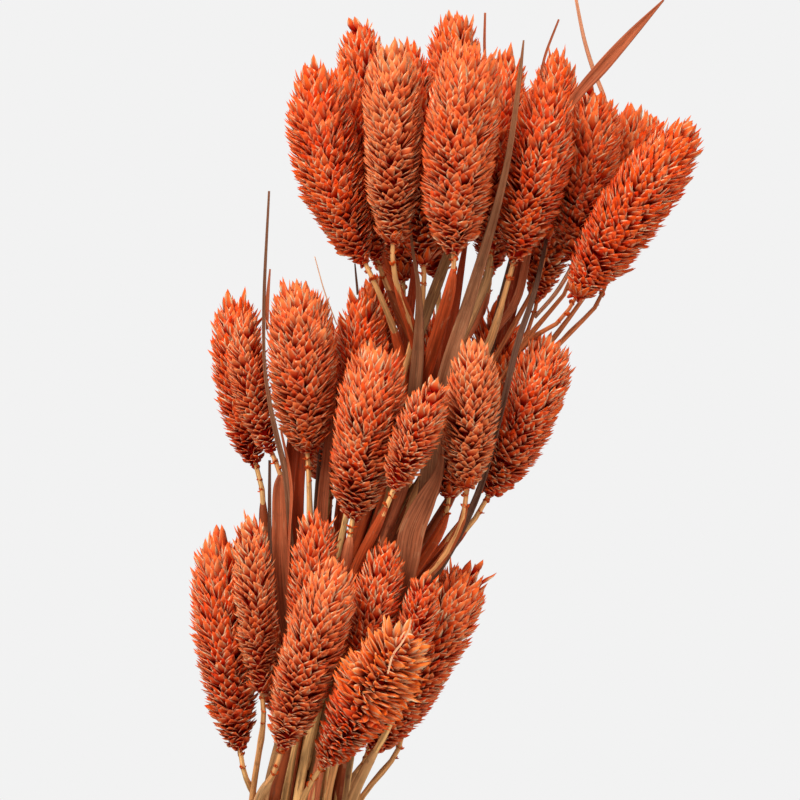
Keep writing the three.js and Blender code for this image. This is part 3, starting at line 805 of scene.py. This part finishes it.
class Head:
    """A seed head, in millimetres, with the numbers that the tables of heads give."""

    def __init__(self, foot, tip, radius, bow, faded, *by):
        self.foot, self.tip = np.array(foot, float), np.array(tip, float)
        self.radius, self.bow, self.faded, self.by = radius, bow, faded, by
        self.reach = np.linalg.norm(self.tip - self.foot)
        self.scale = math.sqrt(radius / USUAL_RADIUS)

    def curve(self, places):
        """Points on the line through the middle of the head, and its directions there."""
        middle = (self.foot + self.tip) / 2 + (2 * self.bow, 0, 0)
        at = np.asarray(places)[:, None]
        points = (1 - at) ** 2 * self.foot + 2 * at * (1 - at) * middle + at**2 * self.tip
        return points, unit((1 - at) * (middle - self.foot) + at * (self.tip - middle))

    def width(self, at):
        """The head's radius at places from its foot, 0, to its tip, 1."""
        blunt = 0.5 + 0.5 * math.sin(7 * self.tip[0] + 3 * self.tip[2])
        shape = (1 - blunt) * np.array(POINTED) + blunt * np.array(BLUNT)
        return self.radius * np.interp(at, PROFILE_PLACES, shape)

    def stem_end(self):
        """The last points of the stem, up into the head."""
        (foot,), (way,) = self.curve([0])
        return [*self.by, *(foot + step * way for step in STEM_END)]


def graded(name, at):
    """A number that changes along a head."""
    return np.interp(at, *ALONG_A_HEAD[name])


def glumes(form, feet, ways, outwards, spans, halves, deeps):
    """Points of copies of the modelled glume, each with its own foot, way, facing and size."""
    sides = np.stack([
        halves[:, None] * np.cross(outwards, ways), deeps[:, None] * outwards,
        spans[:, None] * ways], axis=1)
    return feet[:, None] + form.points @ sides


def from_keels(floret):
    """How far in from the floret's keels each of its points lies."""
    halves = np.interp(floret.heights, FLORET_HEIGHTS, FLORET_HALVES)
    return np.clip(1 - np.abs(floret.points[:, 0]) / halves, 0, 1)


def set_florets(head, seed, floret, settings, parted, random):
    """Florets in a close spiral round a head, flat out below and upright at the tip. A parted
    head's upper florets are long and stand apart."""
    places = np.linspace(0, 1, 200)
    radii = head.width(places)
    crowd = (radii[1:] + radii[:-1]) / 2 * graded("crowding", places[1:])
    covered = np.r_[0, np.cumsum(crowd * head.reach / (len(places) - 1))]
    count = int(FULL_TURN * covered[-1] / settings.floret_area)
    at = np.interp((np.arange(count) + 0.5) / count * covered[-1], covered, places)
    at = np.clip(at + random.normal(0, 0.004, count), 0.004, 0.997)
    loose = settings.unevenness

    def uneven(amount):
        return random.normal(0, amount * loose, count)

    angle = np.arange(count) * GOLDEN_TURN + uneven(TURN_SPREAD)
    lump = loose * np.sin(2 * angle + 7 * at + seed) * np.sin(11 * at + 3 * seed)
    apart = graded("parting", at) * parted
    centre, along = head.curve(at)
    radial = fanned(along, angle)
    tilt = graded("tilt", at) + LUMP_TILT * lump + uneven(TILT_SPREAD) + PARTED_TILT * apart
    tilt = np.radians(tilt)
    swing = uneven(SWING_SPREAD) * (1 + 1.5 * apart)
    way = unit(turned(tilt, along, radial) + swing[:, None] * np.cross(along, radial))
    outward = across_way(radial, way)
    outward = turned(uneven(graded("roll", at)), outward, np.cross(way, outward))
    width = head.width(at) * (1 + LUMP_HEIGHT * lump)
    ahead = uneven(graded("ahead", at)) + apart * random.uniform(*PARTED_AHEAD, count)
    ahead = ahead + graded("crown", at) * random.uniform(*CROWN_AHEAD, count)
    tips = centre + width[:, None] * radial + ahead[:, None] * way
    span = settings.floret_length / MM * head.scale * (1 + uneven(LENGTH_SPREAD))
    span = span * graded("length", at)
    span = np.minimum(span, (width - 0.2).clip(1.2) / np.sin(tilt).clip(0.1)) + 1.2 * apart
    half, deep = (
        size / MM / 2 * head.scale * (1 + random.normal(0, 0.1, count))
        for size in (settings.floret_width, settings.floret_depth))
    half = half * (1 - 0.1 * apart) * graded("width", at)
    deep = deep * graded("depth", at)
    feet = tips - span[:, None] * way
    return at, angle, ahead, apart, glumes(floret, feet, way, outward, span, half, deep)


def florets_dye_and_painted_light(head, seed, at, angle, ahead, apart, settings, random):
    """The dye that each floret has taken, with painted shade and painted light mixed into it, and how
    pale its edges are.
    """
    count = len(at)
    # Florets that stand farther out lean to orange and deeper ones to red: painted shade, on top of a
    # random tone.
    tone = random.normal(0.5, 0.24, count) + 0.16 * np.sin(angle + 5 * at + seed) + 0.3 * ahead
    faded = head.faded + 0.15 * apart + graded("fading", at) + random.normal(0, 0.2, count)
    tint = np.array(settings.red)
    for share_of, dye in ((tone, settings.orange), (faded, settings.faded)):
        share_of = np.clip(share_of, 0, 1)[:, None]
        tint = (1 - share_of) * tint + share_of * np.array(dye)
    # Painted shade and light: florets are darker towards the head's foot, lighter towards its tip and
    # lighter where the head parts.
    lightness = graded("lightness", at) * (1 + 0.6 * apart)
    edges = random.uniform(0.5, 1.5, count) * graded("edges", at)
    return np.minimum(tint * lightness[:, None], 1), edges


def add_bracts(piece, floret, head, settings, random):
    """Larger glumes that fan out from the stalk and cup the foot of a head."""
    (foot,), (way,) = head.curve([0])
    count = random.integers(13, 18)
    angle = np.arange(count) * GOLDEN_TURN + random.uniform(-0.3, 0.3, count)
    radial = fanned(way, angle)
    ways = turned(np.radians(random.uniform(34, 60, count)), way, radial)
    span = random.uniform(3.6, 6.4, count) * head.scale
    half = random.uniform(0.7, 1.0, count) * head.scale
    deep = np.full(count, 0.5 * head.scale)
    feet = foot + 0.4 * radial + 0.3 * way
    for points in glumes(floret, feet, ways, across_way(radial, ways), span, half, deep):
        grain = (from_keels(floret), 0.3 + 0.7 * floret.heights, random.random())
        tint = random.uniform(0.55, 0.9) * np.array(settings.orange)
        piece.add(floret, points, grain, tint, 0.4)


def add_core(piece, core, head, settings):
    """The middle of a head, coloured dark red as painted shade in the gaps between florets."""
    heights = core.heights * 0.9
    centre, along = head.curve(heights)
    side = unit(np.cross((0, 1, 0), along))
    turn = unit(core.points[:, :2])
    size = 0.4 * head.width(core.heights * 0.84 + 0.02)
    round_it = turn[:, :1] * side + turn[:, 1:] * np.cross(along, side)
    # The core takes a darker painted shade colour so that gaps between florets read as shadow.
    shadow = 0.4 * np.array(settings.shadow)
    piece.add(core, centre + size[:, None] * round_it, (0.6, 0, heights), shadow)


def seed_head(node, head, seed, forms, settings, finish, pale, parted):
    """One head: florets round a core coloured as painted shade, and at the foot of every third head
    its bracts.
    """
    random = np.random.default_rng(seed)
    floret, piece = forms["floret"], Gathering()
    *spots, placed = set_florets(head, seed, floret, settings, parted, random)
    tints, edges = florets_dye_and_painted_light(head, seed, *spots, settings, random)
    # A parted head's grain starts part way along, so its florets get less painted shade at their
    # feet.
    inwards, lift = from_keels(floret), 0.3 if parted else 0
    heights = lift + (1 - lift) * floret.heights
    for points, tint, edge in zip(placed, tints, pale * edges):
        piece.add(floret, points, (inwards, heights, random.random()), tint, edge)
    if not parted and seed % 3 == 1:
        add_bracts(piece, floret, head, settings, random)
    add_core(piece, forms["core"], head, settings)
    return piece.piece(f"seed_{node}", finish, "floret", node)


def sorted_round(middle, heads):
    """The heads in the order in which they stand round a point."""
    return sorted(heads, key=lambda head: math.atan2(
        head.foot[1] - middle[1], head.foot[0] - middle[0]))


def on_ring(radius, angle, height):
    """A point on a level ring round the vase's axis."""
    return (radius * math.cos(angle), radius * math.sin(angle), height)


def stem_path(foot, radius, angle, levels, head):
    """A stem's way from its foot straight up the neck, by the levels and into its head. A level
    is a height, the middle of the bunch there and how far the stems have spread."""
    x, y, _ = on_ring(radius, angle, 0)
    by = [(across + x * spread, back + y * spread, height)
          for (height, across, back), spread in levels]
    return [foot, (x, y, NECK_BOTTOM), (x, y, MOUTH), *by, *head.stem_end()]


def top_paths(heads):
    """The top tier's stems fill the core like the seeds of a sunflower."""
    spots = sorted(
        ((index * GOLDEN_TURN) % FULL_TURN - math.pi, math.sqrt((index + 0.5) / len(heads)))
        for index in range(len(heads)))
    paths = []
    for head, (angle, out) in zip(sorted_round(TOP_MIDDLE, heads), spots):
        foot = on_ring(out * CORE_FOOT_RADIUS, angle, STEM_FOOT)
        levels = CORE_LEVELS[:2] if head.by else CORE_LEVELS
        paths.append(stem_path(foot, out * CORE_RADIUS, angle, levels, head))
    return paths


def ring_paths(heads, radius, foot_radius, middle, first, levels):
    """The other tiers' stems take even places on a ring, and their feet cross by turns."""
    spacing = FULL_TURN / len(heads)
    paths = []
    for place, head in enumerate(sorted_round(middle, heads)):
        angle = first + place * spacing
        lean = -2 if place % 2 else 2
        foot = on_ring(foot_radius, angle + lean * spacing, STEM_FOOT)
        paths.append(stem_path(foot, radius, angle, levels, head))
    return paths


def add_straw(bundle, path, reach, own, forms, settings):
    """One bare straw, deeply dyed and thin where it stands free."""
    straw = forms["straw"]
    free = path[-1][0] > FREE_SIDE
    dyed = 0.8 if free else 0.45 * own
    tint = np.array(settings.straw) * (1 - dyed) + np.array(settings.rust) * dyed
    radius = settings.radius / MM * (0.78 if free else 1)
    wide = radius * np.interp((1 - straw.heights) * reach, *STRAW_TAPER)
    placed, _ = straw.laid_along(path, wide)
    bundle.add(straw, placed, (straw.turn_round(), straw.heights * reach, own), tint)
    return free


def sheath_colour(random, height, settings):
    """Straw and pale sheaths stand low in the bunch, brown and dyed ones high."""
    low = float(np.interp(height, SHEATH_LEVELS, (1, 0)))
    shares = np.array([low * below + (1 - low) * above for below, above in SHEATH_DYES.values()])
    colour = getattr(settings, random.choice(list(SHEATH_DYES), p=shares / shares.sum()))
    return np.array(colour) * random.uniform(0.75, 1.2)


def add_sheaths(bundle, path, reach, bare, sheath, settings, random):
    """Leaf sheaths one below the other, under the bare length of a stem."""
    end = 1 - (bare + random.uniform(-1.5, 2)) / reach
    for _ in range(MOST_SHEATHS):
        start = end - random.uniform(*SHEATH_LENGTHS) / reach
        if start < LOWEST_SHEATH:
            break
        stretch, _, _ = smooth_through(path, np.linspace(start, end, 12))
        colour = sheath_colour(random, stretch[6, 2], settings)
        wide = settings.sheath_radius / MM * random.uniform(0.8, 1.25)
        placed, length_here = sheath.laid_along(
            stretch, wide * np.interp(sheath.heights, *SHEATH_TAPER),
            random.uniform(0.65, 1.0), random.uniform(0, FULL_TURN))
        grain = (1.6 * sheath.turn_round(), sheath.heights * length_here, random.random())
        bundle.add(sheath, placed, grain, colour)
        end = start + random.uniform(-9, 5) / reach


def add_stubs(bundle, path, reach, floret, orange, random):
    """Rings of short stubs on the stem, just below its head."""
    for ring in range(random.integers(2, 4)):
        left = 3.6 + 2.2 * ring + random.uniform(0, 1)
        (centre,), (way,), _ = smooth_through(path, [1 - left / reach])
        count = random.integers(4, 7)
        radial = fanned(way, -random.uniform(0, FULL_TURN, count))
        ways = unit(radial + random.uniform(0.3, 1.4, count)[:, None] * way)
        size = random.uniform(1.3, 2.4, count) * (1 - 0.12 * ring)
        feet = centre - 0.3 * size[:, None] * ways
        outwards = across_way(radial, ways)
        for points in glumes(floret, feet, ways, outwards, size, 0.28 * size, 0.2 * size):
            tone = random.random()
            grain = (np.abs(floret.points[:, 0]), floret.heights, tone)
            bundle.add(floret, points, grain, (0.4 + 0.5 * tone) * np.array(orange))


def stems_piece(tier, paths, seed, forms, settings, orange, finish):
    """One tier's straws in their sheaths, with rings of stubs below the heads."""
    random = np.random.default_rng(seed)
    bundle = Gathering()
    for path in paths:
        _, _, reach = smooth_through(path, [0])
        free = add_straw(bundle, path, reach, random.random(), forms, settings)
        bare = FREE_LENGTH if free else random.choice(BARE_LENGTHS, p=BARE_SHARES[tier])
        add_sheaths(bundle, path, reach, bare, forms["sheath"], settings, random)
        add_stubs(bundle, path, reach, forms["floret"], orange, random)
    return bundle.piece(f"straw_stems_{tier}", finish, "straw", f"stems_{tier}")


def leaf_piece(name, blades, seed, form, thickness, finish, *nodes):
    """Dry blades, each laid along its stations with a colour of its own, and thickened."""
    random = np.random.default_rng(seed)
    leaf = Gathering()
    for stations, tint in blades:
        placed, reach = form.laid_along(stations)
        grain = (np.abs(form.points[:, 0]) * 2, form.heights * reach, random.random())
        leaf.add(form, placed, grain, tint)
    obj = leaf.piece(name, finish, "blade", *nodes)
    bpy.ops.object.select_all(action="DESELECT")
    bpy.context.view_layer.objects.active = obj
    obj.select_set(True)
    thick = obj.modifiers.new("thickness", "SOLIDIFY")
    thick.thickness = thickness
    thick.offset = 0
    bpy.ops.object.modifier_apply(modifier=thick.name)
    bpy.ops.object.shade_smooth()
    return obj


class DRIEDGRASS_OT_heads(bpy.types.Operator):
    """Adds the dyed seed heads of all three tiers"""

    bl_idname = "dried_grass.heads"
    bl_label = "Add Seed Heads"

    def execute(self, context):
        settings = context.scene.seed_heads
        forms = {"floret": model_floret(), "core": model_core()}
        finish = chaff_finish(settings)
        seed = 1
        for tier, rows in TIERS.items():
            for index, row in enumerate(rows):
                node = f"head_{tier}_{index + 1:02d}"
                seed_head(
                    node, Head(*row), seed, forms, settings, finish, PALE_EDGES[tier],
                    node == PARTED_HEAD)
                seed += 1
        return {"FINISHED"}


class DRIEDGRASS_OT_stems(bpy.types.Operator):
    """Adds the stems of all three tiers with their sheaths and stubs"""

    bl_idname = "dried_grass.stems"
    bl_label = "Add Stems"

    def execute(self, context):
        settings = context.scene.grass_stems
        orange = context.scene.seed_heads.orange
        forms = {
            "straw": model_straw(settings.rings), "sheath": model_sheath(),
            "floret": model_floret()}
        finish = straw_finish("dry_straw", 0.6, 5.0)
        heads = {tier: [Head(*row) for row in rows] for tier, rows in TIERS.items()}
        paths = {"top": top_paths(heads["top"])}
        for tier, ring in RINGS.items():
            paths[tier] = ring_paths(heads[tier], *ring)
        for seed, (tier, tier_paths) in enumerate(paths.items()):
            stems_piece(tier, tier_paths, 100 + seed, forms, settings, orange, finish)
        return {"FINISHED"}


class DRIEDGRASS_OT_leaves(bpy.types.Operator):
    """Adds the dry leaves that stand among the stems"""

    bl_idname = "dried_grass.leaves"
    bl_label = "Add Leaves"

    def execute(self, context):
        settings = context.scene.grass_leaves
        finish = straw_finish("dry_leaf", 0.55, 9.0)
        blade = model_blade(settings.fold)
        shades = {
            name: np.array(getattr(settings, name))
            for name in ("brown", "dark", "red", "rust", "orange", "pale")}
        brown, dark, red, _, orange, pale = shades.values()
        tints = {
            "leaf_long": brown, "leaf_folded": (brown + red) / 2, "leaf_left": (brown + dark) / 2,
            "leaf_sheath": red, "leaf_point": brown * 0.9, "leaf_dark": dark,
            "leaf_right": red, "leaf_curl": (orange + pale) / 2,
        }
        for seed, (node, stations) in enumerate(LEAVES.items()):
            blades = [(stations, tints[node])]
            leaf_piece(f"dry_{node}", blades, seed, blade, settings.thickness, finish, node)
        strays = [(stations, shades[name]) for name, *stations in STRAYS]
        leaf_piece("dry_strays", strays, 20, blade, settings.thickness / 2, finish)
        return {"FINISHED"}


class DRIEDGRASS_OT_vase(bpy.types.Operator):
    """Adds the stoneware bottle vase"""

    bl_idname = "dried_grass.vase"
    bl_label = "Add Vase"

    def execute(self, context):
        size = context.scene.grass_vase
        outline = [
            (size.foot, 0, 0), (size.belly, size.belly_height, 0),
            ((size.belly + size.neck) / 2, (size.belly_height + size.neck_height) / 2, 0),
            (size.neck, size.neck_height, 0), (size.lip, size.height, 0),
        ]
        outside, _, _ = smooth_through(outline, np.linspace(0, 1, 34))
        half_wall = size.wall / 2
        lip = [
            (size.lip - half_wall * (1 - math.cos(turn)),
             size.height - half_wall * (1 - math.sin(turn)))
            for turn in np.linspace(0.3, math.pi - 0.3, 7)]
        below_lip = size.height - size.wall * 0.6
        well = 6 * MM
        rings = [
            (size.foot - 2.5 * MM, 0.6 * MM), (size.foot - 1.2 * MM, 0),
            (size.foot - 0.3 * MM, 0.2 * MM),
            *[(x, z) for x, z, _ in outside if 0.8 * MM < z < below_lip],
            *lip,
            *[(x - size.wall, z) for x, z, _ in outside[::-1] if size.floor + 2 * MM < z < below_lip],
            (size.foot - size.wall - 2 * MM, size.floor), (well, size.floor),
        ]
        radius, height = well, 0.6 * MM
        obj = begin(
            bpy.ops.mesh.primitive_circle_add, vertices=72, radius=radius, fill_type="NGON",
            location=(0, 0, height))
        for next_radius, next_height in rings:
            raise_ring(next_height - height, next_radius / radius)
            radius, height = next_radius, next_height
        shaped(obj)
        bpy.ops.object.shade_smooth()
        obj.name = obj.data.name = "stoneware_vase"
        settle(obj, stoneware_finish(size), "glaze", "vase")
        return {"FINISHED"}


class DRIEDGRASS_OT_stage(bpy.types.Operator):
    """Adds the camera, the soft lights and the pale floor"""

    bl_idname = "dried_grass.stage"
    bl_label = "Add Stage"

    def execute(self, context):
        settings = context.scene.grass_stage
        scene = context.scene
        scene.view_settings.view_transform = "Standard"
        scene.world = bpy.data.worlds.new("studio")
        scene.world.use_nodes = True
        world = Nodes(scene.world.node_tree)
        backdrop, output = (world.tree.nodes[name] for name in ("Background", "World Output"))
        world.put(settings.backdrop, backdrop.inputs["Color"])
        height = world.parts(world.add("TexCoord").outputs["Generated"])[2]
        ramp = world.add("MapRange", dict(enumerate((height, *SKY_RAMP))))
        glow = world.add("Background", {"Strength": ramp.outputs[0]})
        seen = world.add("LightPath").outputs["Is Camera Ray"]
        chosen = world.add("MixShader", {0: seen, 1: glow.outputs[0], 2: backdrop.outputs[0]})
        world.put(chosen.outputs[0], output.inputs[0])

        camera = bpy.data.cameras.new("camera")
        camera.sensor_width = 36
        camera.lens = camera.sensor_width * settings.distance / settings.view_width
        camera.clip_end = 20
        scene.camera = bpy.data.objects.new("camera", camera)
        scene.collection.objects.link(scene.camera)
        scene.camera.location = (settings.aim_x, -settings.distance, settings.aim_z)
        scene.camera.rotation_euler = (math.pi / 2, 0, 0)

        aim = Vector((settings.aim_x, 0, settings.aim_z))
        for name, place, size, power in LIGHTS:
            light = bpy.data.lights.new(name, "AREA")
            light.size = size
            light.energy = power
            lamp = bpy.data.objects.new(name, light)
            scene.collection.objects.link(lamp)
            lamp.location = place
            lamp.rotation_euler = (aim - Vector(place)).to_track_quat("-Z", "Y").to_euler()

        bpy.ops.object.select_all(action="DESELECT")
        bpy.ops.mesh.primitive_circle_add(vertices=96, radius=FLOOR_RADIUS, fill_type="NGON")
        floor = context.object
        floor.name = floor.data.name = "floor"
        finish = Finish("pale_floor", 0.8)
        finish.colour([FLOOR_SHADE * part for part in settings.backdrop])
        x, y, _ = finish.parts(finish.place())
        away = finish.sum("SQRT", finish.sum("ADD", finish.times(x, x), finish.times(y, y)))
        finish.put(finish.band(away, *FLOOR_FADE, 1.0, 0.0), finish.surface["Alpha"])
        floor.data.materials.append(finish.material)
        return {"FINISHED"}


class DRIEDGRASS_PT_panel(bpy.types.Panel):
    """Lists the pieces of the bunch"""

    bl_label = "Dried Grass"
    bl_idname = "DRIEDGRASS_PT_panel"
    bl_space_type = "VIEW_3D"
    bl_region_type = "UI"
    bl_category = "Dried grass"

    def draw(self, context):
        for operator in OPERATORS:
            self.layout.operator(operator.bl_idname)
        for name in SETTINGS:
            box = self.layout.box()
            group = getattr(context.scene, name)
            for item in group.bl_rna.properties:
                if item.identifier not in ("rna_type", "name"):
                    box.prop(group, item.identifier)


OPERATORS = (
    DRIEDGRASS_OT_stage, DRIEDGRASS_OT_vase, DRIEDGRASS_OT_stems, DRIEDGRASS_OT_leaves,
    DRIEDGRASS_OT_heads,
)
SETTINGS = {
    "seed_heads": SeedHeadSettings,
    "grass_stems": StemSettings,
    "grass_leaves": LeafSettings,
    "grass_vase": VaseSettings,
    "grass_stage": StageSettings,
}


def register():
    """Registers the settings, the operators and the panel."""
    for name, settings in SETTINGS.items():
        bpy.utils.register_class(settings)
        setattr(bpy.types.Scene, name, PointerProperty(type=settings))
    for item in (*OPERATORS, DRIEDGRASS_PT_panel):
        bpy.utils.register_class(item)


def unregister():
    """Takes away what register added."""
    for item in reversed((*OPERATORS, DRIEDGRASS_PT_panel)):
        bpy.utils.unregister_class(item)
    for name, settings in SETTINGS.items():
        delattr(bpy.types.Scene, name)
        bpy.utils.unregister_class(settings)


def main():
    """Builds all the pieces."""
    register()
    bpy.ops.dried_grass.stage()
    bpy.ops.dried_grass.vase()
    bpy.ops.dried_grass.stems()
    bpy.ops.dried_grass.leaves()
    bpy.ops.dried_grass.heads()


if __name__ == "__main__":
    main()
